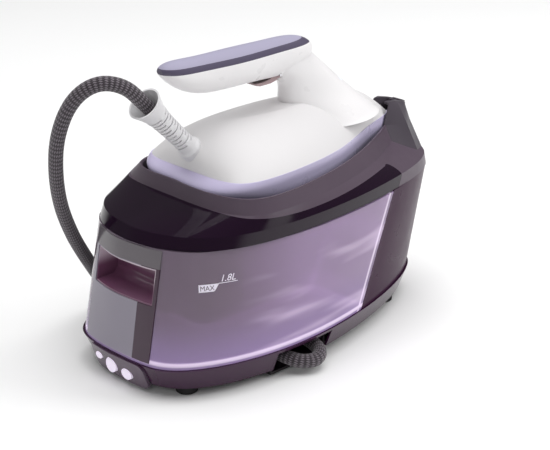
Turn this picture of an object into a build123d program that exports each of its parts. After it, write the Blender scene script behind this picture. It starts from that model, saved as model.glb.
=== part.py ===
from build123d import *
import math
import os

os.makedirs("parts", exist_ok=True)

# Steam generator iron, millimetres. Origin at the floor under the middle of the station.
# -X is the front with the control panel and the tank grip, +X the end under the iron's tip.
# -Y is the near long side with the water tank, +Y the rear long side. +Z is up.

# ---- levels of the station -------------------------------------------------------------
FOOT_Z = 8.0          # bottom edge of the base shell
DECK_Z = 27.5         # top of the base, where the tank stands
SEAM_Z = 124.0        # joint between tank and top cover
SHOULDER_Z = 134.0
BEVEL_Z = 146.0       # lower edge of the satin bevel at the front
RIM_Z = 158.0         # upper edge of the rim round the iron tray
TRAY_Z = 145.0        # surface that the iron rests on
WALL = 2.6

# ---- boat-shaped outlines: front x, (x, half width) of the side, rear x ------------------
BASE_TOP = (-174.5, [(-173, 31), (-159, 61.5), (-38, 92), (147, 34)], 158.5)
BASE_BOTTOM = (-166.0, [(-164.5, 30), (-147.5, 60), (-38, 84), (142, 29)], 150.0)
HULL_BOTTOM = (-173.0, [(-171.5, 30), (-157.8, 60), (-38, 90.6), (145.8, 32.5)], 156.6)
HULL_SEAM = (-158.5, [(-154.2, 30), (-137.1, 60), (-28.5, 87.0), (158.6, 41.4)], 174.1)
COVER_SEAM = (-158.5, [(-154.2, 30), (-124.7, 70), (-38, 87.0), (80, 73), (158.6, 41.4)], 174.1)
COVER_SHOULDER = (-154.0, [(-149.8, 30), (-121.5, 69), (-38, 86.2), (80, 72), (157.5, 40)], 173.0)
COVER_BEVEL = (-107.0, [(-105, 46), (-90, 76), (-40, 82.5), (62, 59), (142, 17)], 160.0)
COVER_RIM = (-102.5, [(-101.2, 44), (-85.5, 73.5), (-38, 77.5), (55, 53), (136, 12.5)], 152.5,
             [(-101.4, 43), (-88.5, 63.5), (-38, 69.5), (55, 51.5), (136, 12.5)])
# corners of the lock tower as (x, half width), and the height of each section
TOWER_SECTIONS = [
    ([(118, 36), (149, 42), (163, 34), (172.5, 10)], 132.0),
    ([(126, 10), (149, 26), (163.5, 16), (171.5, 4)], 158.0),
    ([(138, 8), (150, 11), (161, 9), (169.0, 3.5)], 177.5),
]
TOWER_ROOF = [(120, 176.8), (148, 176.8), (160, 174.2), (180, 169.0), (180, 190), (120, 190)]
LOCK_ROOM_X = (146.0, 168.6)
TRAY_FLOOR = (-101.0, [(-99, 30), (-84, 54), (-38, 66), (50, 47), (112, 20)], 149.0)

# ---- water tank ---------------------------------------------------------------------------
TANK_BACK_Y = -20.0       # inner face of the long arm of the tank
TANK_FRONT_X = -95.0      # inner face of the front block
TANK_SIDE_Y = 56.0        # rear-side face of the front block
TANK_END_TOP = 79.0       # raked end of the tank at the seam
TANK_END_LOW = 33.0       # and at the deck
TANK_TOP_Z = 123.2
TANK_WALL = 2.4
RECESS_Y = (-36.0, 38.0)  # finger recess in the front face
RECESS_Z = (77.0, 107.0)
RECESS_X = -137.0

# ---- hose ---------------------------------------------------------------------------------
HOSE_R = 6.0
TUNNEL_X = (-73.0, -13.0)
TUNNEL_Z = (4.0, 24.0)
OUTLET_X = 96.0       # hose outlet at the rear long side
OUTLET_Z = 45.0
MAINS_X = 132.0       # mains cord inlet
MAINS_Z = 42.0

# ---- iron ---------------------------------------------------------------------------------
SOLE_TOP = 149.0
SKIRT_TOP = 166.0
SOLE_PLAN = (-97.0, [(-93, 32), (-78, 54), (-38, 61), (40, 47), (103, 21)], 146.0)
SKIRT_FOOT = (-96.5, [(-94, 33), (-79, 54.5), (-38, 62.0), (41, 48), (104, 21)], 147.0)
SKIRT_PLAN = (-100.2, [(-98.4, 38.5), (-84.6, 58.8), (-38, 63.5), (41, 48.6), (105, 21.4)], 148.5)
SKIRT_HEAD = (-92.6, [(-92.0, 36), (-82.6, 57.4), (-38, 63.0), (41, 48.2), (105, 21.2)], 148.0)
SHELL_LOW = (-92.0, [(-91.4, 35.5), (-82, 56.8), (-38, 62.6), (41, 47.8), (104, 20.8)], 147.4)
SHELL_MID = (-90.0, [(-86.5, 28), (-72, 46), (-34, 51), (40, 39), (95, 17)], 131.0)
SHELL_HIGH = (-79.0, [(-74, 18), (-60, 29), (-28, 34), (35, 27), (78, 12)], 110.0)
SHELL_TOP = (-46.0, [(-43, 8), (-31, 12), (-5, 15), (30, 14), (54, 8)], 82.0)
SHELL_Z = (166.0, 179.0, 192.0, 201.0)

GUARD_BASE = (-88.0, 183.0)     # x, z where the bend protector leaves the heel
GUARD_MOUTH = (-134.5, 230.5)

# name, y, z, half width, half height
BUTTONS = [
    ("button_power", 22.5, 17.5, 4.2, 3.0),
    ("button_steam", 7.0, 14.0, 6.6, 6.6),
    ("button_clean", -12.0, 12.0, 6.4, 4.6),
]
COUPLING_X = TANK_FRONT_X + 3.0
FLAP_X = (-127.0, -99.0)
FLAP_Y = (-55.0, -31.0)
VALVE_Y = 22.0
VALVE_Z = 42.0
# x, centre z, half height, half width
HANDLE = [
    (-118.0, 252.6, 2.0, 3.5),
    (-112.0, 251.0, 7.0, 9.0),
    (-98.0, 246.8, 12.4, 12.4),
    (-60.0, 242.6, 16.2, 14.2),
    (-12.0, 242.2, 16.6, 14.2),
    (24.0, 243.0, 14.8, 14.0),
    (40.0, 245.0, 8.5, 10.5),
    (45.0, 246.5, 3.0, 5.0),
]
# z, centre x, half length, half width
PILLAR = [
    (178.0, 73.5, 51.0, 37.0),
    (186.0, 67.0, 47.0, 31.0),
    (194.0, 61.0, 43.0, 26.0),
    (204.0, 53.0, 38.5, 20.5),
    (214.0, 46.5, 32.5, 17.0),
    (225.0, 36.0, 30.0, 14.5),
    (236.0, 24.5, 28.5, 13.0),
    (246.0, 17.0, 26.0, 11.0),
]
STRIP_LOW = [(-130, 251.5), (-112, 250.2), (-80, 249.0), (-20, 249.0), (20, 250.0), (60, 252.0)]
STRIP_HEIGHT = 4.6
TRIGGER_PIVOT = (5.0, 228.6)
GUARD_LENGTH = math.dist(GUARD_BASE, GUARD_MOUTH)
HOSE_START = 29.9        # depth of the hose socket in the guard, from its base
# From the hose guard over the front corner, down the rear side and round into the tunnel.
HOSE_LOOP = [
    (-108.98, 0.0, 204.44), (-136.0, 0.4, 232.6), (-151.0, 4.0, 248.0),
    (-170.0, 14.0, 252.0), (-184.5, 28.0, 237.0), (-189.5, 42.0, 206.0), (-185.0, 53.0, 172.0),
    (-173.0, 66.0, 138.0), (-154.0, 79.0, 104.0), (-134.0, 92.0, 77.0), (-114.0, 106.0, 53.0),
    (-95.0, 120.0, 31.0), (-72.0, 123.0, 16.0), (-52.0, 101.0, 12.5), (-54.0, 72.0, 12.0),
]
# Through the tunnel, the fold at the near side, back through it and out to the stored loops.
HOSE_FOLD = [
    (-54.0, 72.0, 12.0), (-56.0, 43.0, 11.5), (-58.5, 10.0, 12.0), (-60.0, -28.0, 13.0), (-59.0, -60.0, 14.0),
    (-58.0, -80.0, 13.5), (-53.0, -94.0, 11.5), (-40.0, -99.5, 10.8), (-28.5, -93.0, 13.0), (-26.0, -79.0, 16.5),
    (-26.5, -58.0, 17.0), (-28.0, -22.0, 16.0), (-29.0, 14.0, 14.0), (-28.0, 46.0, 12.0), (-26.0, 76.0, 11.0),
    (-24.0, 98.0, 9.0), (-8.0, 118.0, 7.5), (14.0, 126.0, 7.0), (34.0, 121.0, 7.0),
]
HOSE_TAIL = [(96, 72, 45), (96, 90, 45), (86, 106, 40), (67, 114, 32), (50.5, 119.5, 21.5)]
HANK_CENTRE = (92.0, 146.0)
HANK_SIZE = (146.0, 84.0)
HANK_LAYERS = 2

PARTS = {}


def keep(name, shape):
    """Store one named piece; a piece made of several solids stays one compound."""
    solids = shape.solids()
    PARTS[name] = solids[0] if len(solids) == 1 else Compound(children=list(solids))


def parameters(points):
    """Centripetal spacing of a closed curve's points."""
    values = [0.0]
    for a, b in zip(points, points[1:] + points[:1]):
        values.append(values[-1] + math.sqrt(math.dist(a, b)))
    return values


def outline(plan, z, inset=0.0):
    """Face bounded by a closed curve. The +Y side mirrors the -Y side unless the plan has a fourth list for it."""
    front, side, rear = plan[:3]
    rear_side = plan[3] if len(plan) > 3 else side
    shifts = [[(x + inset * (0.6 if x < -60 else -0.3 if x > 60 else 0.0), w - 0.8 * inset) for x, w in one]
              for one in (side, rear_side)]
    near = [(x, -w) for x, w in shifts[0]]
    points = [(front + inset, 0.0)] + near + [(rear - inset, 0.0)] + shifts[1][::-1]
    knots = [Vector(x, y, z) for x, y in points]
    curve = Edge.make_spline(knots, periodic=True, parameters=parameters(points))
    return Face(Wire([curve]))


def stack(sections):
    """Solid through outlines given as (plan, z, inset)."""
    return loft([outline(*section) for section in sections])


def box(x, y, z):
    """Box from its low and high limits on each axis."""
    size = [b - a for a, b in (x, y, z)]
    centre = [(a + b) / 2 for a, b in (x, y, z)]
    return Pos(*centre) * Box(*size)


def rod(start, end, radius):
    """Cylinder between two points."""
    a, b = Vector(*start), Vector(*end)
    plane = Plane(origin=a, z_dir=(b - a).normalized())
    return extrude(plane * Circle(radius), (b - a).length)


def prism_y(points, y_low, y_high):
    """Prism along Y from a closed outline in X and Z."""
    face = make_face(Polyline(*[(x, y_low, z) for x, z in points], close=True))
    return extrude(face, amount=y_high - y_low, dir=(0, 1, 0))


def hull(inset=0.0, low=DECK_Z, high=SEAM_Z):
    """Side wall of the station between the deck and the seam."""
    solid = stack([(HULL_BOTTOM, DECK_Z, inset), (HULL_SEAM, SEAM_Z, inset)])
    return solid & box((-200, 200), (-120, 120), (low, high))


# ============================ base ============================================================
def make_base():
    outer = stack([(BASE_BOTTOM, FOOT_Z, 0), (BASE_TOP, DECK_Z, 0)])
    inner = stack([(BASE_BOTTOM, FOOT_Z, WALL), (BASE_TOP, DECK_Z, WALL)])
    inner &= box((-200, 200), (-120, 120), (0, DECK_Z - WALL))
    tunnel = box(TUNNEL_X, (-120, 120), (0, TUNNEL_Z[1]))
    liner_room = box((TUNNEL_X[0] - 2, TUNNEL_X[1] + 2), (-120, 120), (0, TUNNEL_Z[1] + 1))
    panel_room = box((-200, -150), (-34, 34), (0, DECK_Z - WALL))
    shell = outer - inner - liner_room - panel_room

    plate = extrude(outline(BASE_BOTTOM, FOOT_Z, WALL + 0.4), 2.0)
    plate -= liner_room
    plate -= box((-200, -146), (-36, 36), (0, 30))
    for index, piece in enumerate(plate.solids().sort_by(Axis.X)):
        keep(("bottom_plate_front", "bottom_plate_rear")[index], piece)

    liner = box((TUNNEL_X[0] - 2, TUNNEL_X[1] + 2), (-80, 80), (2.0, TUNNEL_Z[1] + 1))
    liner -= box(TUNNEL_X, (-90, 90), TUNNEL_Z)
    keep("hose_tunnel", liner)

    rounded = fillet(box((-182, -154), (-33.5, 33.5), (3.0, 26.5)).edges().filter_by(Axis.X), 6)
    belly = stack([(BASE_BOTTOM, 3.0, -2.0), (BASE_TOP, 26.5, -1.5)])
    panel = rounded & belly
    panel = panel - stack([(BASE_BOTTOM, 3.0, 1.5), (BASE_TOP, 26.5, 2.0)])
    for _, y, z, ry, rz in BUTTONS:
        panel -= button_plug(y, z, ry + 0.35, rz + 0.35, -185, -140)
    keep("control_panel", panel)
    keep("base_shell", shell - rounded)


def button_plug(y, z, half_width, half_height, x_low, x_high):
    """Elliptical plug along X."""
    plane = Plane(origin=(x_low, y, z), x_dir=(0, 1, 0), z_dir=(1, 0, 0))
    return extrude(plane * Ellipse(half_width, half_height), x_high - x_low)


def make_controls():
    board = box((-158.3, -156.7), (-27, 27), (9, 23))
    for name, y, z, ry, rz in BUTTONS:
        face_x = -169.6 - 0.30 * (z - 3.0) + 0.0018 * y * y
        cap = button_plug(y, z, ry, rz, face_x, face_x + 9.0)
        keep(name, cap)
        plunger_end = face_x + 9.0 + 1.6
        board += box((plunger_end, -157.5), (y - 3, y + 3), (z - 2.5, z + 2.5))
    keep("button_board", board)


# ============================ core and rear housing ==========================================
def tank_zone(grow=0.0):
    """Space of the tank inside the hull; grow widens it for the running gap round the tank."""
    plan = make_face(Polyline(
        (-210, -130), (120, -130), (120, TANK_BACK_Y + grow), (TANK_FRONT_X + grow, TANK_BACK_Y + grow),
        (TANK_FRONT_X + grow, TANK_SIDE_Y + grow), (-210, TANK_SIDE_Y + grow), close=True))
    zone = extrude(Pos(0, 0, DECK_Z) * plan, 110)
    corners = [e for e in zone.edges().filter_by(Axis.Z) if e.center().X in (TANK_FRONT_X + grow,)]
    zone = fillet([e for e in corners if abs(e.center().Y) < 40], 14)
    low, high = DECK_Z + 0.3 - grow, TANK_TOP_Z + grow
    slope = (TANK_END_TOP - TANK_END_LOW) / (SEAM_Z - DECK_Z)
    low_end = TANK_END_LOW + slope * (low - DECK_Z) + grow
    high_end = TANK_END_LOW + slope * (high - DECK_Z) + grow
    side = prism_y([(-210, low), (low_end, low), (high_end, high), (-210, high)], -130, 130)
    return zone & side


def make_core():
    outer = hull()
    inner = hull(WALL, DECK_Z + WALL, SEAM_Z - WALL)
    room = tank_zone(0.8)
    room_wall = tank_zone(0.8 + 2.2)
    shell = (outer - inner) + (room_wall & outer)
    shell -= room
    shell -= rod((TANK_FRONT_X - 2, VALVE_Y, VALVE_Z), (COUPLING_X + 1, VALVE_Y, VALVE_Z), 7.0)
    shell = shell & box((-200, 200), (-120, 120), (DECK_Z, SEAM_Z))
    split = prism_y([(TANK_END_LOW + 3.4, 0), (TANK_END_LOW + 3.4, DECK_Z), (TANK_END_TOP + 3.4, SEAM_Z),
                     (TANK_END_TOP + 3.4, 200), (250, 200), (250, 0)], -130, 130)
    rear = shell & split
    side = shell - split
    for x, z, radius in ((OUTLET_X, OUTLET_Z, 9), (MAINS_X, MAINS_Z, 6)):
        rear -= rod((x, 30, z), (x, 80, z), radius)
    keep("rear_housing", max(rear.solids(), key=lambda s: s.volume))
    keep("side_housing", max(side.solids(), key=lambda s: s.volume))


def make_inner_works():
    pump_y = 28.0
    pump = rod((10, pump_y, 62), (58, pump_y, 62), 17) + box((14, 54), (pump_y - 17, pump_y + 17), (62, 84))
    pump += rod((58, pump_y, 62), (70, pump_y, 62), 6)
    keep("pump", pump)
    for index, x in enumerate((16.0, 46.0)):
        cradle = box((x - 4, x + 4), (pump_y - 20, pump_y + 20), (DECK_Z + WALL, 62))
        cradle -= rod((x - 6, pump_y, 62), (x + 6, pump_y, 62), 17.0)
        keep(f"pump_mount_{index + 1}", cradle)
    keep("main_board", box((-70, -5), (50, 51.6), (40, 105)))
    heat_sink = box((-60, -20), (51.6, 54), (60, 95))
    for x in range(-58, -20, 6):
        heat_sink += box((x, x + 1.6), (54, 62), (60, 95))
    keep("heat_sink", heat_sink)
    coupling = box((COUPLING_X, COUPLING_X + 14), (VALVE_Y - 9, VALVE_Y + 9), (VALVE_Z - 9, VALVE_Z + 9))
    coupling += rod((COUPLING_X + 14, VALVE_Y, VALVE_Z), (COUPLING_X + 20, VALVE_Y, VALVE_Z), 4.5)
    keep("tank_coupling", coupling)
    feed_start = (COUPLING_X + 20, VALVE_Y, VALVE_Z)
    feed = FilletPolyline(feed_start, (-40, VALVE_Y, VALVE_Z), (-15, 28, 62), (10, 28, 62), radius=12)
    keep("feed_tube", sweep(Plane(origin=feed_start, z_dir=(1, 0, 0)) * Circle(3.5), path=feed))
    outlet = FilletPolyline((70, 28, 62), (84, 28, 60), (OUTLET_X, 34, 45), (OUTLET_X, 50, 45), radius=5)
    keep("outlet_tube", sweep(Plane(origin=(70, 28, 62), z_dir=(1, 0, 0)) * Circle(3.5), path=outlet))


def make_glands():
    gland = rod((OUTLET_X, 50, OUTLET_Z), (OUTLET_X, 72, OUTLET_Z), 9)
    keep("hose_gland", gland)
    inlet = rod((MAINS_X, 30, MAINS_Z), (MAINS_X, 58, MAINS_Z), 6)
    inlet -= rod((MAINS_X, 40, MAINS_Z), (MAINS_X, 60, MAINS_Z), 3.6)
    keep("mains_gland", inlet)


# ============================ top cover ======================================================
def bevel_split():
    """Body above the line where the glossy side meets the satin bevel and the rear pillar."""
    edge = Spline((-210, 0, 150), (-106, 0, 146), (-70, 0, 141.5), (-20, 0, 139.5), (40, 0, 140.5), (84, 0, 141.5))
    arc = Spline((84, 0, 141.5), (92, 0, 139.8), (95, 0, 135), (91.5, 0, 128), (87, 0, 120))
    border = Polyline((87, 0, 120), (87, 0, 60), (250, 0, 60), (250, 0, 230), (-210, 0, 230), (-210, 0, 150))
    face = make_face([edge, arc, border])
    return Pos(0, -130, 0) * extrude(face, amount=260, dir=(0, 1, 0))


def tower_section(half, z):
    """Face of the lock tower at one height, from the half widths of its corners."""
    near = [(x, -w, z) for x, w in half]
    far = [(x, w, z) for x, w in reversed(half)]
    return make_face(Polyline(*near, *far, close=True))


def make_cover():
    sections = [(COVER_SEAM, SEAM_Z), (COVER_SHOULDER, SHOULDER_Z), (COVER_BEVEL, BEVEL_Z), (COVER_RIM, RIM_Z)]
    lower = loft([outline(p, z) for p, z in sections[:2]], ruled=True)
    middle = loft([outline(p, z) for p, z in sections[1:3]], ruled=True)
    upper = loft([outline(p, z) for p, z in sections[2:]], ruled=True)
    solid = lower + middle + upper
    lower_in = loft([outline(COVER_SEAM, SEAM_Z - 1, 3), outline(COVER_SHOULDER, SHOULDER_Z, 3)], ruled=True)
    middle_in = loft([outline(COVER_SHOULDER, SHOULDER_Z, 3), outline(COVER_BEVEL, BEVEL_Z, 4)], ruled=True)
    upper_in = loft([outline(COVER_BEVEL, BEVEL_Z, 4), outline(COVER_RIM, RIM_Z - 2, 3)], ruled=True)
    hollow = lower_in + middle_in + upper_in

    pocket = loft([outline(TRAY_FLOOR, TRAY_Z), outline(COVER_RIM, RIM_Z + 0.01, 1.6)], ruled=True)
    tray_body = loft([outline(TRAY_FLOOR, TRAY_Z - 2.4, -2.4), outline(COVER_RIM, RIM_Z - 1.2, 0.6)], ruled=True)
    tray = (tray_body - pocket) & solid
    keep("iron_tray", max(tray.solids(), key=lambda s: s.volume))

    shell = solid - hollow - tray_body - pocket
    above = bevel_split()
    keep("top_cover", max((shell - above).solids(), key=lambda s: s.volume))
    band = max((shell & above).solids(), key=lambda s: s.volume)

    tower = loft([tower_section(*section) for section in TOWER_SECTIONS], ruled=True)
    tower -= prism_y(TOWER_ROOF, -60, 60)
    nose_room = extrude(outline((-100, SKIRT_PLAN[1], 153.5), TRAY_Z, -1.0), 60)
    tower = tower - nose_room - solid
    tower -= box(LOCK_ROOM_X, (-6.4, 6.4), (163.0, 185))
    keep("rim_band", band)
    keep("lock_tower", max(tower.solids(), key=lambda s: s.volume))

    lock = box((156.6, 168.0), (-6.0, 6.0), (163.4, 171.0)) + box((157.5, 164.0), (-5.2, 5.2), (171.0, 174.0))
    lock += box((150.6, 160.0), (-5.0, 5.0), (170.0, 172.4))
    lock -= box((159.8, 161.6), (-6, 6), (172.6, 175))
    keep("carry_lock", lock)


def make_tray_pads():
    mat = extrude(outline((-92, [(-86, 28), (-74, 42), (-38, 50), (40, 36), (90, 15)], 118), TRAY_Z), 1.0)
    for x, reach in ((-60.0, 30.0), (0.0, 26.0), (60.0, 16.0)):
        mat += box((x - 4, x + 4), (-reach, reach), (TRAY_Z + 1.0, TRAY_Z + 2.0))
    keep("tray_mat", mat)


def make_feet():
    for index, (x, y) in enumerate(((-140, -50), (-140, 50), (108, -38), (108, 38))):
        foot = Pos(x, y, 0) * extrude(Circle(9), FOOT_Z)
        keep(f"foot_{index + 1}", chamfer(foot.edges().sort_by(Axis.Z)[0], 1.0))


# ============================ water tank =====================================================
def make_tank():
    body = tank_zone() & hull()
    cavity = tank_zone(-TANK_WALL) & hull(TANK_WALL)
    recess = box((-200, RECESS_X), RECESS_Y, RECESS_Z)
    recess = fillet(recess.edges().filter_by(Axis.Y).filter_by_position(Axis.X, -140, -130), 9)
    lining = box((-200, RECESS_X + TANK_WALL), (RECESS_Y[0] - TANK_WALL, RECESS_Y[1] + TANK_WALL),
                 (RECESS_Z[0] - TANK_WALL, RECESS_Z[1] + TANK_WALL))
    lining = fillet(lining.edges().filter_by(Axis.Y).filter_by_position(Axis.X, -140, -130), 11)
    valve_hole = rod((-110, VALVE_Y, VALVE_Z), (-90, VALVE_Y, VALVE_Z), 6.0)
    filler = box(FLAP_X, FLAP_Y, (TANK_TOP_Z - 6, TANK_TOP_Z + 6))
    shell = body - (cavity - lining) - recess - valve_hole - filler
    keep("tank_shell", max(shell.solids(), key=lambda s: s.volume))

    liner = box((-172, RECESS_X), RECESS_Y, RECESS_Z)
    liner = fillet(liner.edges().filter_by(Axis.Y).filter_by_position(Axis.X, -140, -130), 9)
    scoop = Pos(-1.4, 0, 0) * box((-210, RECESS_X), (RECESS_Y[0] + 1.4, RECESS_Y[1] - 1.4),
                                  (RECESS_Z[0] + 1.4, RECESS_Z[1] - 1.4))
    scoop = fillet(scoop.edges().filter_by(Axis.Y).filter_by_position(Axis.X, -145, -130), 8)
    keep("tank_grip", (liner - scoop) & hull())

    fascia = (hull(-1.2) - hull()) & box((-200, -140), (-39, 43), (DECK_Z + 3, TANK_TOP_Z - 1))
    fascia -= box((-210, -120), RECESS_Y, RECESS_Z)
    keep("tank_fascia", max(fascia.solids(), key=lambda s: s.volume))

    duct = box((FLAP_X[0] - 3.5, FLAP_X[1] + 3.5), (FLAP_Y[0] - 3.5, FLAP_Y[1] + 3.5), (78, TANK_TOP_Z - TANK_WALL))
    duct -= box((FLAP_X[0] - 2, FLAP_X[1] + 2), (FLAP_Y[0] - 2, FLAP_Y[1] + 2), (70, 130))
    keep("filler_duct", duct)
    flap = box((FLAP_X[0] + 0.4, FLAP_X[1] - 0.4), (FLAP_Y[0] + 0.4, FLAP_Y[1] - 0.4),
               (TANK_TOP_Z - 2.2, TANK_TOP_Z - 0.4))
    keep("filler_flap", flap)
    stem = rod((-98.9, VALVE_Y, VALVE_Z), (-93.4, VALVE_Y, VALVE_Z), 5.97)
    stem += rod((-102.5, VALVE_Y, VALVE_Z), (-97.4, VALVE_Y, VALVE_Z), 9.0)
    stem -= rod((-104, VALVE_Y, VALVE_Z), (-90, VALVE_Y, VALVE_Z), 2.5)
    keep("tank_valve", stem)


# ============================ iron ===========================================================
def shell_stack(inset, drop):
    """Solid under the white shell's skin, drawn in by inset and lowered by drop."""
    plans = (SHELL_LOW, SHELL_MID, SHELL_HIGH, SHELL_TOP)
    return stack([(plan, z - (drop if z > SKIRT_TOP else 0.0), inset) for plan, z in zip(plans, SHELL_Z)])


def ellipse_at_x(x, z, half_height, half_width):
    return Plane(origin=(x, 0, z), x_dir=(0, 1, 0), z_dir=(1, 0, 0)) * Ellipse(half_width, half_height)


def handle_solid():
    """Full handle with its free rear end, and the front pillar down to the shell."""
    bar = loft([ellipse_at_x(*section) for section in HANDLE])
    pillar = loft([Pos(x, 0, z) * Ellipse(half_length, half_width) for z, x, half_length, half_width in PILLAR])
    return bar, pillar


def above_line(points, lift):
    """Everything above a gently curved line in X and Z."""
    curve = Spline(*[(x, -60, z + lift) for x, z in points])
    x_low, x_high = points[0][0], points[-1][0]
    rim = Polyline((x_high, -60, points[-1][1] + lift), (x_high, -60, 320), (x_low, -60, 320),
                   (x_low, -60, points[0][1] + lift))
    return extrude(make_face([curve, rim]), amount=120, dir=(0, 1, 0))


def make_iron_base():
    plate = stack([(SOLE_PLAN, TRAY_Z + 2.0, 1.2), (SOLE_PLAN, SOLE_TOP, 0)])
    for row in range(9):
        x = 96.0 - 15.0 * row
        reach = 6.0 + 3.2 * row
        for side in (-1, 1):
            plate -= rod((x, side * reach, TRAY_Z), (x, side * reach, SOLE_TOP + 1), 1.5)
    keep("soleplate", plate)

    heater_path = FilletPolyline((-70, 30, 158), (30, 27, 158), (104, 0, 158), (30, -27, 158), (-70, -30, 158),
                                 radius=11)
    heater = sweep(Plane(origin=(-70, 30, 158), z_dir=(1, -0.03, 0)) * Circle(3.4), path=heater_path)
    chamber = extrude(outline(SOLE_PLAN, SOLE_TOP, 7.0), 9.0) - heater
    keep("heating_element", heater)
    keep("steam_chamber", chamber)
    lid = extrude(outline((-62, [(-58, 12), (-48, 18), (-25, 20), (25, 17), (55, 10)], 72), SOLE_TOP + 9.0), 2.0)
    keep("chamber_cover", lid)
    keep("thermal_fuse", box((-30, -6), (-5, 5), (SOLE_TOP + 11.0, SOLE_TOP + 14.0)))
    inner = stack([(SKIRT_FOOT, SOLE_TOP, 3.0), (SKIRT_PLAN, 158.0, 3.0), (SKIRT_HEAD, SKIRT_TOP, 3.0)])
    outer = stack([(SKIRT_FOOT, SOLE_TOP, 0), (SKIRT_PLAN, 158.0, 0), (SKIRT_HEAD, SKIRT_TOP, 0)])
    keep("skirt", outer - inner)
    shield = extrude(outline(SKIRT_PLAN, SKIRT_TOP - 2.0, 2.8), 2.0) & inner
    keep("heat_shield", shield)


def guard_frame(distance=0.0):
    """Plane across the hose guard's axis, at a distance from its base."""
    x0, z0 = GUARD_BASE
    axis = Vector(GUARD_MOUTH[0] - x0, 0, GUARD_MOUTH[1] - z0).normalized()
    return Plane(origin=Vector(x0, 0, z0) + axis * distance, z_dir=axis, x_dir=(0, 1, 0))


def make_hose_guard():
    outer_line = [(10.0, -6), (10.0, 2.5), (8.4, 5), (7.9, 14), (8.3, 30), (9.0, 44), (10.4, 54), (14.5, GUARD_LENGTH)]
    bore_line = [(13.0, GUARD_LENGTH), (9.0, 56), (HOSE_R + 0.6, 49), (HOSE_R + 0.6, HOSE_START)]
    profile = Polyline((0, -6), *outer_line, *bore_line, (0, HOSE_START), close=True)
    guard = revolve(Plane.XZ * make_face(profile), Axis.Z)
    blank = revolve(Plane.XZ * make_face(Polyline((0, -6), *outer_line, (0, GUARD_LENGTH), close=True)), Axis.Z)
    for index in range(11):
        low = 11.0 + 3.9 * index
        core = HOSE_R - 0.4 if low < HOSE_START - 4 else HOSE_R + 0.4
        ring = Pos(0, 0, low + 0.6) * (Cylinder(20, 1.2) - Cylinder(core, 1.4))
        bridge = Box(5.0, 40, 2) if index % 2 else Box(40, 5.0, 2)
        guard -= ring - Pos(0, 0, low + 0.6) * bridge
    keep("hose_guard", guard_frame().location * guard)
    return guard_frame().location * blank


def make_iron_body():
    guard = make_hose_guard()
    skin = shell_stack(0.0, 0.0)
    bar, pillar = handle_solid()
    outer = skin - shell_stack(2.6, 2.4)
    keep("iron_shell", max((outer - pillar - guard).solids(), key=lambda s: s.volume))

    whole = bar + pillar
    upper = above_line(STRIP_LOW, 0.0)
    top = above_line(STRIP_LOW, STRIP_HEIGHT)
    lower = whole - upper
    lower -= shell_stack(2.6, 2.4)
    trigger_room = box((-34, 9), (-7.2, 7.2), (200, 236)) & box((-34, 9), (-8, 8), (222, 236))
    board_room = box((-92, -40), (-8.5, 8.5), (236.5, 246))
    lower = lower - trigger_room - board_room
    lens_frame = Plane(origin=(79.5, 0, 213.0), z_dir=Vector(0.635, 0, 0.774), x_dir=(0, 1, 0))
    lens = extrude(lens_frame * RectangleRounded(20, 5.0, 2.0), 7.0, both=True) & pillar
    keep("status_light", max(lens.solids(), key=lambda s: s.volume))
    lower = lower - lens
    keep("handle_shell", max(lower.solids(), key=lambda s: s.volume))
    keep("handle_strip", max((bar & upper - top).solids(), key=lambda s: s.volume))
    keep("handle_grip", max((bar & top).solids(), key=lambda s: s.volume))
    keep("handle_board", box((-88, -46), (-7.5, 7.5), (236.5, 238.1)))


def make_trigger():
    px, pz = TRIGGER_PIVOT
    blade = prism_y([(px - 2, pz + 1.5), (px - 1, pz - 4.2), (-4, 222.5), (-16, 222.3), (-21, 223.6),
                     (-21.6, 225.2), (-14, 224.9), (-6, 226.0)], -6.4, 6.4)
    blade += rod((px, -6.4, pz), (px, 6.4, pz), 3.2)
    pin = rod((px, -9.5, pz), (px, 9.5, pz), 1.3)
    blade -= rod((px, -8, pz), (px, 8, pz), 1.35)
    keep("trigger", blade)
    keep("trigger_pin", pin)
    keep("trigger_spring", rod((-14, 0, 225.7), (-14, 0, 235.95), 2.2))
    keep("trigger_switch", box((-26, -17.5), (-5, 5), (228.3, 236.0)))


# ============================ hose ===========================================================
def polyline_radii(points):
    """Radius at each corner: 0.45 of the shorter run over the tangent of half the turn."""
    radii = []
    for a, b, c in zip(points, points[1:], points[2:]):
        before, after = Vector(*b) - Vector(*a), Vector(*c) - Vector(*b)
        turn = before.get_angle(after)
        radii.append(0.45 * min(before.length, after.length) / math.tan(math.radians(turn) / 2))
    return radii


def hose_run(name, points):
    """Round tube along straight runs joined by tangent arcs."""
    radii = polyline_radii(points)
    path = FilletPolyline(*points, radius=radii)
    start = Plane(origin=points[0], z_dir=Vector(*points[1]) - Vector(*points[0]))
    tube = sweep(start * Circle(HOSE_R), path=path)
    expected = math.pi * HOSE_R ** 2 * path.length
    print(f"{name}: length {path.length:.0f} mm, least radius {min(radii):.1f} mm, "
          f"volume ratio {tube.volume / expected:.4f}")
    print("  radii", [round(r) for r in radii])
    keep(name, tube)


def make_hose():
    hose_run("hose_loop", HOSE_LOOP)
    hose_run("hose_fold", HOSE_FOLD)
    hose_run("hose_tail", HOSE_TAIL)
    length, width = HANK_SIZE
    band = 4 * HOSE_R
    outer = SlotOverall(length, width)
    inner = SlotOverall(length - band, width - band)
    height = 2 * HOSE_R * HANK_LAYERS + 0.4
    keep("hose_hank", Pos(*HANK_CENTRE, 0.3) * extrude(outer - inner, height))
    turn = math.pi * (width - band / 2) + 2 * (length - width)
    print(f"stored loops: {HANK_LAYERS} turns of {turn:.0f} mm")


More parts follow.
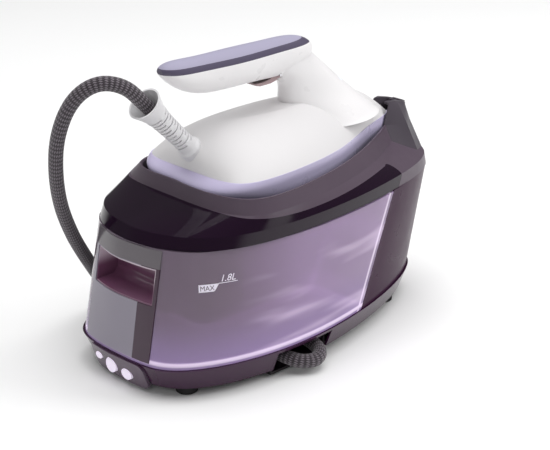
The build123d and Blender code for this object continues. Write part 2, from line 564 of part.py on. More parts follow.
def main():
    make_base()
    make_controls()
    make_feet()
    make_core()
    make_inner_works()
    make_glands()
    make_cover()
    make_tray_pads()
    make_tank()
    make_iron_base()
    make_iron_body()
    make_trigger()
    make_hose()
    for name, shape in PARTS.items():
        export_step(shape, f"parts/{name}.step")
    object_box = Compound(children=[s for n, s in PARTS.items() if not n.startswith("hose_") or n == "hose_tunnel"
                                    or n in ("hose_gland", "hose_guard")]).bounding_box()
    print(len(PARTS), "pieces, object box", object_box.min, object_box.max)


main()
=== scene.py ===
"""Looks for the steam generator iron: materials, hose, level marks, light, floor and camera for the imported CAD.

Metres, in the row frame of the CAD: -X is the end with the control panel, -Y the near long side with the tank.
"""

import math

import bpy
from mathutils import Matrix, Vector
from mathutils.bvhtree import BVHTree


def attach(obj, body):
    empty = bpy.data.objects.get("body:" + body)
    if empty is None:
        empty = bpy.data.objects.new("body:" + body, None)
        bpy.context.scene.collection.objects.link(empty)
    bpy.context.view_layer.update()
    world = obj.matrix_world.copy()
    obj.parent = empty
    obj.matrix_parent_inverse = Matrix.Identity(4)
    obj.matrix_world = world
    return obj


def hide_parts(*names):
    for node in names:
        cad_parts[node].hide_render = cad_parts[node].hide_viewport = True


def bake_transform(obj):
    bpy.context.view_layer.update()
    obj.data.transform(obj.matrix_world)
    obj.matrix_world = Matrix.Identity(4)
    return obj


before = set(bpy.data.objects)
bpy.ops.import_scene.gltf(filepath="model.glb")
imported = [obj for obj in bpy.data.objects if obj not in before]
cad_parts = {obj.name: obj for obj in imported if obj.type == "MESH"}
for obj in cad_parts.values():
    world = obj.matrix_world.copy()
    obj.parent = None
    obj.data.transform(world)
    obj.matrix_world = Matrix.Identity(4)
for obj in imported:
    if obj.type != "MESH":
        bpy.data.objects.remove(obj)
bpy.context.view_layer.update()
scene = bpy.context.scene

# ---------------------------------------------------------------- camera, floor, light

CAMERA_AT = Vector((-0.82997, -0.87416, 0.56498))
CAMERA_AIM = Vector((0.00704, 0.0, 0.09037))
CAMERA_LENS = 96.98
FLOOR_HALF = 9.0
FLOOR_WHITE = 0.93
WORLD_STRENGTH = 0.16

# name, place, aim, size, power, seen in glossy surfaces
LIGHTS = [
    ("top_fill", (0.2, 0.1, 2.6), (0, 0, 0), (3.0, 3.0), 78, False),
    ("right_fill", (1.7, -1.5, 1.3), (0, 0, 0.1), (1.4, 1.2), 24, False),
    ("left_fill", (-2.0, -1.1, 1.2), (0, 0, 0.1), (1.2, 1.2), 9, False),
    ("cover_card", (-0.75, -0.30, 1.35), (-0.12, -0.05, 0.14), (0.13, 0.22), 0.5, True),
    ("band_strip", (1.5, -0.9, 1.9), (0, 0, 0.15), (1.6, 0.5), 2.2, True),
    ("back_strip", (-0.9, 1.9, 1.4), (0, 0, 0.15), (1.4, 0.5), 2.2, True),
]


def make_camera():
    data = bpy.data.cameras.new("camera")
    data.lens = CAMERA_LENS
    data.sensor_width = 36.0
    data.clip_start = 0.05
    data.clip_end = 60.0
    camera = bpy.data.objects.new("camera", data)
    camera.location = CAMERA_AT
    camera.rotation_mode = "QUATERNION"
    camera.rotation_quaternion = (CAMERA_AIM - CAMERA_AT).to_track_quat("-Z", "Y")
    scene.collection.objects.link(camera)
    scene.camera = camera


def make_light(name, at, aim, size, power, mirrored):
    """A soft box: a rectangle of light that looks at a point. Only a mirrored one is seen in glossy surfaces."""
    data = bpy.data.lights.new(name, "AREA")
    data.shape = "RECTANGLE"
    data.size, data.size_y = size
    data.energy = power
    lamp = bpy.data.objects.new(name, data)
    lamp.location = at
    lamp.rotation_mode = "QUATERNION"
    lamp.rotation_quaternion = (Vector(aim) - Vector(at)).to_track_quat("-Z", "Y")
    lamp.visible_glossy = mirrored
    scene.collection.objects.link(lamp)


def make_floor():
    mesh = bpy.data.meshes.new("floor")
    corners = [(-FLOOR_HALF, -FLOOR_HALF, 0), (FLOOR_HALF, -FLOOR_HALF, 0),
               (FLOOR_HALF, FLOOR_HALF, 0), (-FLOOR_HALF, FLOOR_HALF, 0)]
    mesh.from_pydata(corners, [], [(0, 1, 2, 3)])
    floor = bpy.data.objects.new("floor", mesh)
    scene.collection.objects.link(floor)
    material, shader = new_material("floor_paper")
    shader.inputs["Base Color"].default_value = (FLOOR_WHITE, FLOOR_WHITE, FLOOR_WHITE, 1)
    shader.inputs["Roughness"].default_value = 0.9
    shader.inputs["Specular IOR Level"].default_value = 0.1
    mesh.materials.append(material)


def make_world():
    world = bpy.data.worlds.new("studio")
    world.use_nodes = True
    background = world.node_tree.nodes["Background"]
    background.inputs["Color"].default_value = (1, 1, 1, 1)
    background.inputs["Strength"].default_value = WORLD_STRENGTH
    scene.world = world
    scene.view_settings.view_transform = "Standard"


# ---------------------------------------------------------------- shader building blocks

NOISE_SPAN = (0.3, 0.7)      # where most of a noise texture's values lie


def linear(value):
    """A display value from 0 to 255 as linear light."""
    share = value / 255
    return share / 12.92 if share <= 0.04045 else ((share + 0.055) / 1.055) ** 2.4


def rgb(red, green, blue):
    return (linear(red), linear(green), linear(blue), 1.0)


def shade(colour, factor):
    return (colour[0] * factor, colour[1] * factor, colour[2] * factor, 1.0)


def new_material(name):
    material = bpy.data.materials.new(name)
    material.use_nodes = True
    return material, material.node_tree.nodes["Principled BSDF"]


def shader_of(material):
    return material.node_tree.nodes["Principled BSDF"]


def base_colour_of(material):
    """The socket that feeds a material's base colour so far."""
    return shader_of(material).inputs["Base Color"].links[0].from_socket


def add_node(material, kind, **settings):
    node = material.node_tree.nodes.new(kind)
    for key, value in settings.items():
        setattr(node, key, value)
    return node


def join(material, source, target):
    material.node_tree.links.new(source, target)


def feed(material, socket, value):
    """Gives a socket a constant or a link."""
    if isinstance(value, (int, float, tuple)):
        socket.default_value = value
    else:
        join(material, value, socket)


def object_space(material):
    return add_node(material, "ShaderNodeTexCoord").outputs["Object"]


def place_along(material, axis):
    """Where a point lies along one axis of the row frame."""
    parts = add_node(material, "ShaderNodeSeparateXYZ")
    join(material, object_space(material), parts.inputs["Vector"])
    return parts.outputs[axis]


def stretched_space(material, scale, turn=(0.0, 0.0, 0.0)):
    mapping = add_node(material, "ShaderNodeMapping")
    mapping.inputs["Rotation"].default_value = turn
    mapping.inputs["Scale"].default_value = scale
    join(material, object_space(material), mapping.inputs["Vector"])
    return mapping.outputs["Vector"]


def noise(material, scale, detail=3.0, where=None):
    node = add_node(material, "ShaderNodeTexNoise")
    node.inputs["Scale"].default_value = scale
    node.inputs["Detail"].default_value = detail
    join(material, where or object_space(material), node.inputs["Vector"])
    return node.outputs["Fac"]


def spread(material, factor, low, high):
    """A noise as a number from low to high."""
    node = add_node(material, "ShaderNodeMapRange")
    node.inputs["From Min"].default_value, node.inputs["From Max"].default_value = NOISE_SPAN
    node.inputs["To Min"].default_value = low
    node.inputs["To Max"].default_value = high
    join(material, factor, node.inputs["Value"])
    return node.outputs["Result"]


def ramp(material, value, start, end):
    """0 before start and 1 after end, smooth between."""
    node = add_node(material, "ShaderNodeMapRange", interpolation_type="SMOOTHSTEP")
    node.inputs["From Min"].default_value = start
    node.inputs["From Max"].default_value = end
    join(material, value, node.inputs["Value"])
    return node.outputs["Result"]


def zone(material, axis, start, end):
    """A ramp along an axis of the row frame."""
    return ramp(material, place_along(material, axis), start, end)


def math_node(material, operation, first, second=None):
    node = add_node(material, "ShaderNodeMath", operation=operation)
    feed(material, node.inputs[0], first)
    if second is not None:
        feed(material, node.inputs[1], second)
    return node.outputs["Value"]


def band_mask(material, value, middle, half, soft):
    """1 where a value lies within half of the middle, fading over soft."""
    away = math_node(material, "ABSOLUTE", math_node(material, "SUBTRACT", value, middle))
    return ramp(material, away, half + soft, half)


def mix_colour(material, factor, first, second):
    node = add_node(material, "ShaderNodeMix", data_type="RGBA")
    join(material, factor, node.inputs["Factor"])
    feed(material, node.inputs[6], first)
    feed(material, node.inputs[7], second)
    return node.outputs[2]


def add_bump(material, height, strength, distance):
    node = add_node(material, "ShaderNodeBump")
    node.inputs["Strength"].default_value = strength
    node.inputs["Distance"].default_value = distance
    join(material, height, node.inputs["Height"])
    join(material, node.outputs["Normal"], shader_of(material).inputs["Normal"])


# ---------------------------------------------------------------- kinds of material

CLOUD_SCALE = 14.0           # faint patches in a moulding's colour
GLOSS_SCALE = 60.0           # and in its gloss
COAT_ROUGH = 0.04
PLASTIC_IOR = 1.46


def moulded(name, colour, rough=0.3, coat=0.0, grain=0.00002, grain_scale=1800.0, vary=0.06, specular=0.5):
    """Moulded plastic: a slightly uneven colour and gloss, and a fine grain."""
    material, shader = new_material(name)
    cloud = noise(material, CLOUD_SCALE)
    tint = mix_colour(material, cloud, shade(colour, 1 - vary), shade(colour, 1 + vary))
    join(material, tint, shader.inputs["Base Color"])
    gloss = spread(material, noise(material, GLOSS_SCALE), rough * 0.88, rough * 1.12)
    join(material, gloss, shader.inputs["Roughness"])
    shader.inputs["Coat Weight"].default_value = coat
    shader.inputs["Coat Roughness"].default_value = COAT_ROUGH
    shader.inputs["Specular IOR Level"].default_value = specular
    add_bump(material, noise(material, grain_scale, 2.0), 0.35, grain)
    return material


def metal(name, colour, rough, stretch, grain=0.00002):
    """Bare metal, with a grain drawn out along one axis."""
    material, shader = new_material(name)
    lines = noise(material, 1.0, 4.0, stretched_space(material, stretch))
    tint = mix_colour(material, lines, shade(colour, 0.85), shade(colour, 1.1))
    join(material, tint, shader.inputs["Base Color"])
    join(material, spread(material, lines, rough * 0.8, rough * 1.25), shader.inputs["Roughness"])
    shader.inputs["Metallic"].default_value = 1.0
    add_bump(material, lines, 0.3, grain)
    return material


def clear_plastic(name, colour, clear, rough):
    """See-through tinted plastic with faint flow marks."""
    material, shader = new_material(name)
    tint = mix_colour(material, noise(material, 9.0), shade(colour, 0.93), shade(colour, 1.07))
    join(material, tint, shader.inputs["Base Color"])
    shader.inputs["Transmission Weight"].default_value = clear
    shader.inputs["IOR"].default_value = PLASTIC_IOR
    join(material, spread(material, noise(material, 40.0), rough * 0.8, rough * 1.2), shader.inputs["Roughness"])
    add_bump(material, noise(material, 25.0, 2.0), 0.15, 0.0003)
    return material


def lit_plastic(name, colour, glow):
    """White plastic with a lamp behind it."""
    material = moulded(name, colour, 0.3)
    shader_of(material).inputs["Emission Color"].default_value = colour
    shader_of(material).inputs["Emission Strength"].default_value = glow
    return material


def board_green(name):
    """Circuit board lacquer over copper tracks."""
    material, shader = new_material(name)
    brick = add_node(material, "ShaderNodeTexBrick")
    brick.inputs["Scale"].default_value = 160.0
    brick.inputs["Color1"].default_value = rgb(20, 84, 48)
    brick.inputs["Color2"].default_value = rgb(26, 96, 56)
    brick.inputs["Mortar"].default_value = rgb(52, 128, 80)
    join(material, object_space(material), brick.inputs["Vector"])
    join(material, brick.outputs["Color"], shader.inputs["Base Color"])
    shader.inputs["Roughness"].default_value = 0.35
    return material


# ---------------------------------------------------------------- the tank's materials

# the painted highlight streaks on the tank wall:
STREAK_TILT = 0.14           # radians off level
STREAK_STRETCH = (9.0, 2.0, 62.0)
DECK_Z = 0.0275              # where the tank stands
SEAM_Z = 0.124               # the top of its wall
RAKE_FOOT_X = 0.033          # its raked end at the deck
RAKE_TOP_X = 0.079           # and at the seam
RAKE = (RAKE_TOP_X - RAKE_FOOT_X) / (SEAM_Z - DECK_Z)
LEDGE_Z = 0.0315             # painted highlight along the ledge at its foot
RAKE_RIB = 0.0055            # painted highlight along the rib ahead of its raked end
STRIP_Y = -0.0205            # where the face plate's plum strip starts
FACE_BAND_Z = 0.1072         # foot of the face plate's greyer band
# colour of the painted highlights on the tank's ledge and rib
EDGE_HIGHLIGHT = rgb(255, 246, 255)


def painted_streak_light(material):
    """Painted highlights: long soft marks that run almost level along the wall, as light does in a ribbed clear
    tank.
    """
    where = stretched_space(material, STREAK_STRETCH, (0.0, STREAK_TILT, 0.0))
    return ramp(material, noise(material, 1.0, 1.5, where), 0.5, 0.72)


def raked_distance(material):
    """Metres ahead of the tank's raked rear end."""
    rise = math_node(material, "SUBTRACT", place_along(material, "Z"), DECK_Z)
    end = math_node(material, "ADD", math_node(material, "MULTIPLY", rise, RAKE), RAKE_FOOT_X)
    return math_node(material, "SUBTRACT", end, place_along(material, "X"))


def tank_tint_and_painted_light(name):
    """Clear plastic, smoky at the front and lilac at the rear where painted backlight lightens it, lighter
    towards the foot, with painted highlights as pale streak marks and edges that also glow.
    """
    material = clear_plastic(name, rgb(158, 138, 160), 0.6, 0.1)
    # painted backlight: the tint turns a lighter lilac towards the rear
    painted_backlight = zone(material, "X", -0.135, -0.03)
    tint = mix_colour(material, painted_backlight, base_colour_of(material), rgb(204, 178, 216))
    toward_foot = zone(material, "Z", 0.075, 0.03)
    tint = mix_colour(material, toward_foot, tint, rgb(192, 168, 214))
    # painted highlights: pale streak marks along the wall, towards the rear only
    streak_highlights = math_node(material, "MULTIPLY", painted_streak_light(material), zone(material, "X", -0.115, -0.06))
    streak_highlights = math_node(material, "MULTIPLY", streak_highlights, 0.8)
    tint = mix_colour(material, streak_highlights, tint, rgb(248, 232, 252))
    ledge_highlight = band_mask(material, place_along(material, "Z"), LEDGE_Z, 0.0008, 0.0016)
    tint = mix_colour(material, ledge_highlight, tint, EDGE_HIGHLIGHT)
    rib_highlight = band_mask(material, raked_distance(material), RAKE_RIB, 0.0007, 0.0016)
    tint = mix_colour(material, rib_highlight, tint, EDGE_HIGHLIGHT)
    join(material, tint, shader_of(material).inputs["Base Color"])
    # painted light: the ledge, rib and streak highlights glow, though no lamp is there
    glow = math_node(material, "MULTIPLY", math_node(material, "MAXIMUM", ledge_highlight, rib_highlight), 0.22)
    glow = math_node(material, "ADD", glow, math_node(material, "MULTIPLY", streak_highlights, 0.1))
    shader_of(material).inputs["Emission Color"].default_value = rgb(214, 190, 232)
    join(material, glow, shader_of(material).inputs["Emission Strength"])
    return material


def front_face(name):
    """The tank's face plate: pale smoke, with a plum strip down its near edge and a greyer band at the top."""
    material = clear_plastic(name, rgb(150, 144, 158), 0.15, 0.14)
    strip = zone(material, "Y", STRIP_Y, STRIP_Y - 0.0006)
    tint = mix_colour(material, strip, base_colour_of(material), rgb(70, 50, 66))
    band = zone(material, "Z", FACE_BAND_Z, FACE_BAND_Z + 0.0008)
    tint = mix_colour(material, band, tint, rgb(108, 102, 108))
    join(material, tint, shader_of(material).inputs["Base Color"])
    return material


def grip_liner(name):
    """The finger recess: greyish lilac where light falls in at the top, plum at the bottom."""
    material = moulded(name, rgb(112, 72, 98), 0.24, 0.3)
    toward_top = zone(material, "Z", 0.088, 0.101)
    tint = mix_colour(material, toward_top, base_colour_of(material), rgb(206, 190, 202))
    join(material, tint, shader_of(material).inputs["Base Color"])
    return material


# ---------------------------------------------------------------- who gets which material


def paint(material, *nodes):
    """Gives CAD nodes a material."""
    for node in nodes:
        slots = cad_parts[node].data.materials
        slots.clear()
        slots.append(material)


def white_shell(name, colour, rough, vary):
    """A smooth pale moulding, with less grain than the rest."""
    return moulded(name, colour, rough, grain=0.000002, grain_scale=400.0, vary=vary)


def finish_station():
    paint(moulded("cover_gloss", rgb(26, 8, 28), 0.1, grain=0.000002, specular=0.36), "top_cover")
    paint(moulded("base_gloss", rgb(56, 26, 54), 0.16, grain=0.000004, specular=0.4), "base_shell")
    paint(moulded("side_gloss", rgb(60, 30, 58), 0.2, grain=0.000004, specular=0.16), "side_housing")
    paint(moulded("panel_gloss", rgb(84, 66, 84), 0.16, 0.2, grain=0.000004), "control_panel")
    paint(moulded("band_satin", rgb(84, 72, 84), 0.38, vary=0.04), "rim_band")
    paint(moulded("pillar_satin", rgb(58, 30, 54), 0.3, vary=0.05, specular=0.08), "rear_housing")
    paint(moulded("lock_satin", rgb(78, 72, 80), 0.36, 0.1), "lock_tower", "carry_lock")
    under = moulded("under_plastic", rgb(30, 24, 30), 0.5)
    paint(under, "bottom_plate_front", "bottom_plate_rear", "hose_tunnel")
    paint(moulded("tray_satin", rgb(38, 32, 38), 0.42), "iron_tray")
    paint(moulded("mat_rubber", rgb(58, 56, 60), 0.75, grain=0.0002, grain_scale=700.0), "tray_mat")
    feet = [f"foot_{number}" for number in (1, 2, 3, 4)]
    paint(moulded("foot_rubber", rgb(28, 26, 28), 0.8, grain=0.0001), *feet)
    lit = lit_plastic("button_lit", rgb(236, 226, 244), 0.32)
    paint(lit, "button_power", "button_steam", "button_clean")


def finish_tank():
    paint(tank_tint_and_painted_light("tank_clear"), "tank_shell")
    paint(front_face("fascia_clear"), "tank_fascia")
    paint(grip_liner("grip_liner"), "tank_grip")
    paint(moulded("tank_inner", rgb(96, 70, 92), 0.22, 0.4), "filler_duct", "tank_valve")
    paint(moulded("flap_plum", rgb(60, 44, 58), 0.3), "filler_flap")


def finish_iron():
    paint(lit_plastic("light_lens", rgb(226, 232, 250), 0.25), "status_light")
    # the shell's white is greyer than the handle's same white: painted shade on the iron's body
    paint(white_shell("shell_white_painted_shade", rgb(222, 220, 221), 0.34, 0.012), "iron_shell")
    paint(white_shell("handle_white", rgb(236, 234, 235), 0.3, 0.012), "handle_shell")
    paint(moulded("guard_white", rgb(226, 225, 227), 0.38, vary=0.012), "hose_guard")
    paint(white_shell("skirt_lavender", rgb(200, 192, 222), 0.3, 0.02), "skirt")
    paint(moulded("grip_soft", rgb(164, 160, 182), 0.5, grain=0.00003, vary=0.02), "handle_grip")
    paint(moulded("strip_purple", rgb(84, 78, 98), 0.36, vary=0.03), "handle_strip")
    paint(moulded("trigger_rose", rgb(158, 132, 134), 0.3, 0.2), "trigger")
    paint(metal("sole_metal", (0.62, 0.62, 0.64), 0.26, (60, 900, 900)), "soleplate")


def finish_inner_works():
    cast = metal("cast_metal", (0.52, 0.52, 0.53), 0.5, (300, 300, 300), 0.0001)
    paint(cast, "steam_chamber", "chamber_cover", "heat_sink", "heat_shield")
    steel = metal("bright_steel", (0.6, 0.6, 0.62), 0.22, (900, 900, 60))
    paint(steel, "trigger_pin", "trigger_spring", "heating_element")
    paint(board_green("board_green"), "main_board", "button_board", "handle_board")
    black = moulded("black_fitting", rgb(30, 29, 31), 0.45)
    paint(black, "trigger_switch", "thermal_fuse", "tank_coupling", "mains_gland")
    paint(black, "pump_mount_1", "pump_mount_2")
    paint(moulded("gland_dark", rgb(46, 40, 46), 0.5), "hose_gland")
    paint(moulded("pump_grey", rgb(70, 74, 82), 0.4), "pump")
    paint(moulded("tube_milky", rgb(206, 206, 202), 0.4), "feed_tube", "outlet_tube")


# ---------------------------------------------------------------- hose

HOSE_DIAMETER = 0.012
HOSE_STEP = 0.0016
HOSE_SIDES = 32
BRAID_STRANDS = 20
BRAID_PITCH = 0.0038
TIE_X = 0.092                # the tie goes round the stored turns here
TIE_BEYOND_Y = 0.15
TIE_WIDTH = 0.009
TIE_GAP = 0.0002
TIE_THICK = 0.0009
TIE_SIDES = 48
TIE_INNER_LOW = 0.0004       # least height of the tie's inner and outer faces
TIE_OUTER_LOW = 0.0001
# Every point is given one by one, those of the two stored turns too.
HOSE_ROUTE = [
    # out of the iron's guard, up over the top and down the far side
    (-0.10898, 0, 0.20444), (-0.136, 0.0004, 0.2326), (-0.151, 0.004, 0.248), (-0.170, 0.014, 0.252),
    (-0.1845, 0.028, 0.237), (-0.1895, 0.042, 0.206), (-0.185, 0.053, 0.172), (-0.173, 0.066, 0.138),
    (-0.154, 0.079, 0.104), (-0.134, 0.092, 0.077), (-0.114, 0.106, 0.053), (-0.095, 0.120, 0.031),
    (-0.072, 0.123, 0.016), (-0.052, 0.101, 0.0125),
    # under the station, round its fold at the near side and back
    (-0.054, 0.072, 0.012), (-0.056, 0.043, 0.0115), (-0.0585, 0.010, 0.012), (-0.060, -0.028, 0.013),
    (-0.059, -0.060, 0.014), (-0.058, -0.080, 0.0135), (-0.053, -0.094, 0.0115), (-0.040, -0.0995, 0.0108),
    (-0.0285, -0.093, 0.013), (-0.026, -0.079, 0.0165), (-0.0265, -0.058, 0.017), (-0.028, -0.022, 0.016),
    (-0.029, 0.014, 0.014), (-0.028, 0.046, 0.012), (-0.026, 0.076, 0.011), (-0.024, 0.098, 0.009),
    (-0.008, 0.118, 0.0075), (0.014, 0.126, 0.007), (0.034, 0.121, 0.007),
    # first turn of the stored hose, flat on the floor
    (0.060, 0.1135, 0.0065), (0.090, 0.1125, 0.0065), (0.120, 0.113, 0.0065), (0.144, 0.120, 0.0065),
    (0.158, 0.142, 0.0065), (0.152, 0.168, 0.0065), (0.128, 0.180, 0.0065), (0.096, 0.181, 0.0065),
    (0.064, 0.1805, 0.007), (0.040, 0.173, 0.0085), (0.0275, 0.150, 0.012), (0.034, 0.128, 0.0165),
    # second turn, on the first
    (0.058, 0.1225, 0.0185), (0.090, 0.121, 0.0185), (0.118, 0.1215, 0.0185), (0.140, 0.130, 0.0185),
    (0.147, 0.148, 0.0185), (0.138, 0.166, 0.0185), (0.116, 0.1725, 0.0185), (0.090, 0.173, 0.0185),
    (0.064, 0.1715, 0.0185), (0.047, 0.160, 0.019), (0.0425, 0.142, 0.0215), (0.049, 0.124, 0.0275),
    # up to the outlet
    (0.067, 0.112, 0.034), (0.086, 0.106, 0.042), (0.096, 0.092, 0.045), (0.096, 0.072, 0.045),
]


def read_line(name, points):
    """The points of the smooth line through a route, read from its NURBS curve."""
    data = bpy.data.curves.new(name, "CURVE")
    data.dimensions = "3D"
    data.resolution_u = 24
    spline = data.splines.new("NURBS")
    spline.points.add(len(points) - 1)
    for point, place in zip(spline.points, points):
        point.co = (*place, 1.0)
    spline.order_u = 3
    spline.use_endpoint_u = True
    curve = bpy.data.objects.new(name, data)
    scene.collection.objects.link(curve)
    mesh = bpy.data.meshes.new_from_object(curve)
    line = [v.co.copy() for v in mesh.vertices]
    bpy.data.objects.remove(curve)
    bpy.data.meshes.remove(mesh)
    return line


def even_line(line, step):
    """The same line with points an even distance apart."""
    lengths = [0.0]
    for first, second in zip(line, line[1:]):
        lengths.append(lengths[-1] + (second - first).length)
    count = max(2, round(lengths[-1] / step))
    result, i = [], 0
    for k in range(count + 1):
        want = lengths[-1] * k / count
        while i < len(line) - 2 and lengths[i + 1] < want:
            i += 1
        span = max(lengths[i + 1] - lengths[i], 1e-9)
        result.append(line[i].lerp(line[i + 1], min(1.0, (want - lengths[i]) / span)))
    return result


def directions(line):
    """The direction of a line at each of its points."""
    result = []
    for i in range(len(line)):
        result.append((line[min(i + 1, len(line) - 1)] - line[max(i - 1, 0)]).normalized())
    return result


def make_tube(name, line, radius, around):
    """A tube along a line. Its UV map holds the share of a turn and the metres along the line."""
    ways = directions(line)
    side = ways[0].orthogonal().normalized()
    places, along, total = [], [], 0.0
    for i, (centre, way) in enumerate(zip(line, ways)):
        side = (side - way * side.dot(way)).normalized()
        other = way.cross(side)
        if i:
            total += (centre - line[i - 1]).length
        along.append(total)
        for k in range(around):
            angle = 2 * math.pi * k / around
            places.append(centre + (side * math.cos(angle) + other * math.sin(angle)) * radius)
    faces, uvs = [], []
    for i in range(len(line) - 1):
        for k in range(around):
            n = (k + 1) % around
            faces.append((i * around + k, i * around + n, (i + 1) * around + n, (i + 1) * around + k))
            u0, u1 = k / around, (k + 1) / around
            uvs += [(u0, along[i]), (u1, along[i]), (u1, along[i + 1]), (u0, along[i + 1])]
    caps = [tuple(reversed(range(around))), tuple(range((len(line) - 1) * around, len(line) * around))]
    mesh = bpy.data.meshes.new(name)
    mesh.from_pydata(places, [], faces + caps)
    layer = mesh.uv_layers.new(name="turn_and_length")
    for i, uv in enumerate(uvs):
        layer.data[i].uv = uv
    for polygon in mesh.polygons:
        polygon.use_smooth = True
    mesh.update()
    piece = bpy.data.objects.new(name, mesh)
    scene.collection.objects.link(piece)
    return piece


def braid(name, dark, light):
    """Braided yarn: two sets of strands that cross, some of them of a lighter yarn."""
    material, shader = new_material(name)
    uv = add_node(material, "ShaderNodeUVMap", uv_map="turn_and_length")
    parts = add_node(material, "ShaderNodeSeparateXYZ")
    join(material, uv.outputs["UV"], parts.inputs["Vector"])
    turn = math_node(material, "MULTIPLY", parts.outputs["X"], BRAID_STRANDS)
    length = math_node(material, "DIVIDE", parts.outputs["Y"], BRAID_PITCH)
    right = math_node(material, "ADD", turn, length)
    left = math_node(material, "SUBTRACT", turn, length)
    over = math_node(material, "ADD", math_node(material, "FLOOR", right), math_node(material, "FLOOR", left))
    even = math_node(material, "PINGPONG", over, 1.0)
    high = add_node(material, "ShaderNodeMix", data_type="FLOAT")
    join(material, even, high.inputs["Factor"])
    for socket, strand in ((high.inputs[2], right), (high.inputs[3], left)):
        wave = math_node(material, "PINGPONG", strand, 0.5)
        join(material, math_node(material, "MULTIPLY", wave, 2.0), socket)
    fibres = noise(material, 2600.0, 2.0)
    tone = math_node(material, "MULTIPLY", high.outputs[0], even)
    tone = math_node(material, "MULTIPLY", tone, math_node(material, "ADD", fibres, 0.35))
    join(material, mix_colour(material, tone, dark, light), shader.inputs["Base Color"])
    shader.inputs["Roughness"].default_value = 0.72
    shader.inputs["Sheen Weight"].default_value = 0.25
    height = math_node(material, "ADD", high.outputs[0], math_node(material, "MULTIPLY", fibres, 0.5))
    add_bump(material, height, 0.8, 0.0006)
    return material


def make_tie(line):
    """A rubber tie round the stacked turns of the stored hose."""
    strands = [p for p in line if abs(p.x - TIE_X) < HOSE_STEP / 2 and p.y > TIE_BEYOND_Y]
    inner = HOSE_DIAMETER / 2 + TIE_GAP
    outer = inner + TIE_THICK
    places = []
    for x in (TIE_X - TIE_WIDTH / 2, TIE_X + TIE_WIDTH / 2):
        for reach, lowest in ((inner, TIE_INNER_LOW), (outer, TIE_OUTER_LOW)):
            for k in range(TIE_SIDES):
                angle = 2 * math.pi * k / TIE_SIDES
                way = Vector((0, math.cos(angle), math.sin(angle)))
                place = max(strands, key=lambda p: p.dot(way)) + way * reach
                places.append((x, place.y, max(place.z, lowest)))
    faces = []
    for k in range(TIE_SIDES):
        n = (k + 1) % TIE_SIDES
        for first, second in ((0, 1), (1, 3), (3, 2), (2, 0)):
            a, b = first * TIE_SIDES, second * TIE_SIDES
            faces.append((a + k, a + n, b + n, b + k))
    mesh = bpy.data.meshes.new("hose_tie")
    mesh.from_pydata(places, [], faces)
    mesh.materials.append(moulded("tie_rubber", rgb(30, 28, 30), 0.6))
    mesh.update()
    tie = bpy.data.objects.new("hose_tie", mesh)
    scene.collection.objects.link(tie)
    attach(tie, "station")


def make_hose():
    line = even_line(read_line("hose_line", HOSE_ROUTE), HOSE_STEP)
    make_tie(line)
    hose = make_tube("steam_hose", line, HOSE_DIAMETER / 2, HOSE_SIDES)
    hose.data.materials.append(braid("hose_yarn", rgb(54, 47, 53), rgb(146, 137, 146)))
    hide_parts("hose_loop", "hose_fold", "hose_tail", "hose_hank")
    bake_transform(hose)


# ---------------------------------------------------------------- level marks

MARK_START = Vector((-0.1378, -0.0646, 0.097))
MARK_ALONG = Vector((0.883, -0.469, 0))
MARK_OUT = Vector((-0.469, -0.883, 0))
RAY_START = 0.03             # rays set off this far outside the wall
NUMBER_SIZE = 0.0078
NUMBER_SLANT = 0.3
NUMBER_AT = (0.0172, 0.0011)
WORD_SIZE = 0.0058
WORD_NARROW = 0.95
WORD_AT = (0.0009, -0.0051)
LINE_SPAN = (0.0165, 0.0322)
LINE_HEIGHTS = (-0.0003, 0.0002)
FLAG_LENGTH = 0.0166
FLAG_DEPTH = 0.0062
FLAG_CUT_FROM = 0.0128       # where the flag's slanted end starts
FLAG_CUT_SLOPE = 1.6
WINDOW_SPAN = (-0.006, 0.037)
WINDOW_HEIGHTS = (-0.021, 0.0235)
WINDOW_CORNER = 0.005
WINDOW_BEHIND = 0.0034       # the dark window stands behind the wall's outer face
WINDOW_THICK = 0.0006
PRINT_LIFT = 0.0001
PRINT_THICK = 0.00012
WORD_LIFT = 0.00022          # the word lies on the flag


def tank_wall():
    """The tank's outer wall as something rays can hit."""
    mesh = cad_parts["tank_shell"].data
    return BVHTree.FromPolygons([v.co for v in mesh.vertices], [p.vertices for p in mesh.polygons])


def on_wall(wall, along, up, lift):
    """The place on the tank's wall at a distance along and above the start of the level mark."""
    start = MARK_START + MARK_ALONG * along + MARK_OUT * RAY_START
    start.z += up
    place = wall.ray_cast(start, -MARK_OUT)[0]
    return place + MARK_OUT * lift


def add_decal(name, wall, outline, material, lift, thickness=PRINT_THICK):
    """A thin print or plate that follows the tank's wall."""
    points, faces = outline
    mesh = bpy.data.meshes.new(name)
    mesh.from_pydata([on_wall(wall, x, y, lift) for x, y in points], [], faces)
    mesh.materials.append(material)
    piece = bpy.data.objects.new(name, mesh)
    scene.collection.objects.link(piece)
    solid = piece.modifiers.new("thickness", "SOLIDIFY")
    solid.thickness = thickness
    solid.offset = 0
    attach(piece, "water_tank")


def strip(low, high, span, count):
    """Points and faces of a strip between two functions of the distance along the wall."""
    start, end = span
    points, faces = [], []
    for i in range(count + 1):
        x = start + (end - start) * i / count
        points += [(x, low(x)), (x, high(x))]
    for i in range(count):
        faces.append((2 * i, 2 * i + 2, 2 * i + 3, 2 * i + 1))
    return points, faces


def level(height):
    """The function of a straight, level edge."""
    return lambda along: height


def flag_low(along):
    return -FLAG_DEPTH + max(0.0, along - FLAG_CUT_FROM) * FLAG_CUT_SLOPE


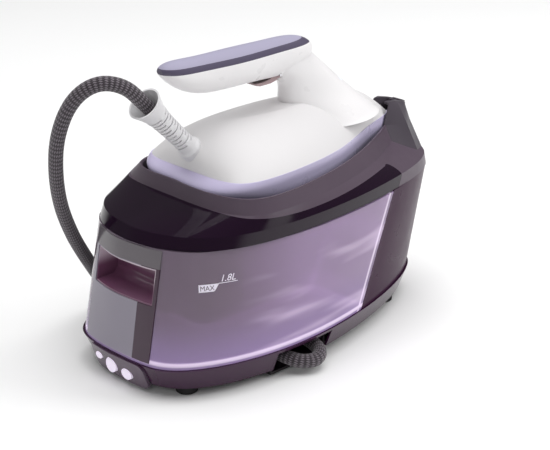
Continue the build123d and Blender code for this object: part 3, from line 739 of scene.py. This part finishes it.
def window_low(along):
    start, end = WINDOW_SPAN
    near_start = max(0.0, 1 - (along - start) / WINDOW_CORNER)
    near_end = max(0.0, 1 - (end - along) / WINDOW_CORNER)
    return WINDOW_HEIGHTS[0] + WINDOW_CORNER * near_start ** 2 + WINDOW_CORNER * near_end ** 2


def flat_text(words, size, slant, at, narrow=1.0):
    """Letters as flat points and faces."""
    data = bpy.data.curves.new("letters", "FONT")
    data.body = words
    data.size = size
    data.shear = slant
    data.resolution_u = 3
    text = bpy.data.objects.new("letters", data)
    scene.collection.objects.link(text)
    mesh = bpy.data.meshes.new_from_object(text)
    points = [(v.co.x * narrow + at[0], v.co.y + at[1]) for v in mesh.vertices]
    faces = [tuple(p.vertices) for p in mesh.polygons]
    bpy.data.objects.remove(text)
    bpy.data.meshes.remove(mesh)
    return points, faces


def make_level_marks():
    wall = tank_wall()
    light = moulded("print_light", rgb(236, 230, 244), 0.5)
    dark = moulded("print_dark", rgb(92, 78, 96), 0.5)
    smoke = moulded("window_shade", rgb(46, 34, 46), 0.4)
    number = flat_text("1.8L", NUMBER_SIZE, NUMBER_SLANT, NUMBER_AT)
    add_decal("level_number", wall, number, light, PRINT_LIFT)
    line = strip(level(LINE_HEIGHTS[0]), level(LINE_HEIGHTS[1]), LINE_SPAN, 12)
    add_decal("level_line", wall, line, light, PRINT_LIFT)
    flag = strip(flag_low, level(0.0), (0.0, FLAG_LENGTH), 14)
    add_decal("level_flag", wall, flag, light, PRINT_LIFT)
    word = flat_text("MAX", WORD_SIZE, 0.0, WORD_AT, WORD_NARROW)
    add_decal("level_word", wall, word, dark, WORD_LIFT)
    window = strip(window_low, level(WINDOW_HEIGHTS[1]), WINDOW_SPAN, 24)
    add_decal("level_window", wall, window, smoke, -WINDOW_BEHIND, WINDOW_THICK)


# ---------------------------------------------------------------- the scene

make_world()
make_camera()
make_floor()
for light_values in LIGHTS:
    make_light(*light_values)
finish_station()
finish_tank()
finish_iron()
finish_inner_works()
make_level_marks()
make_hose()
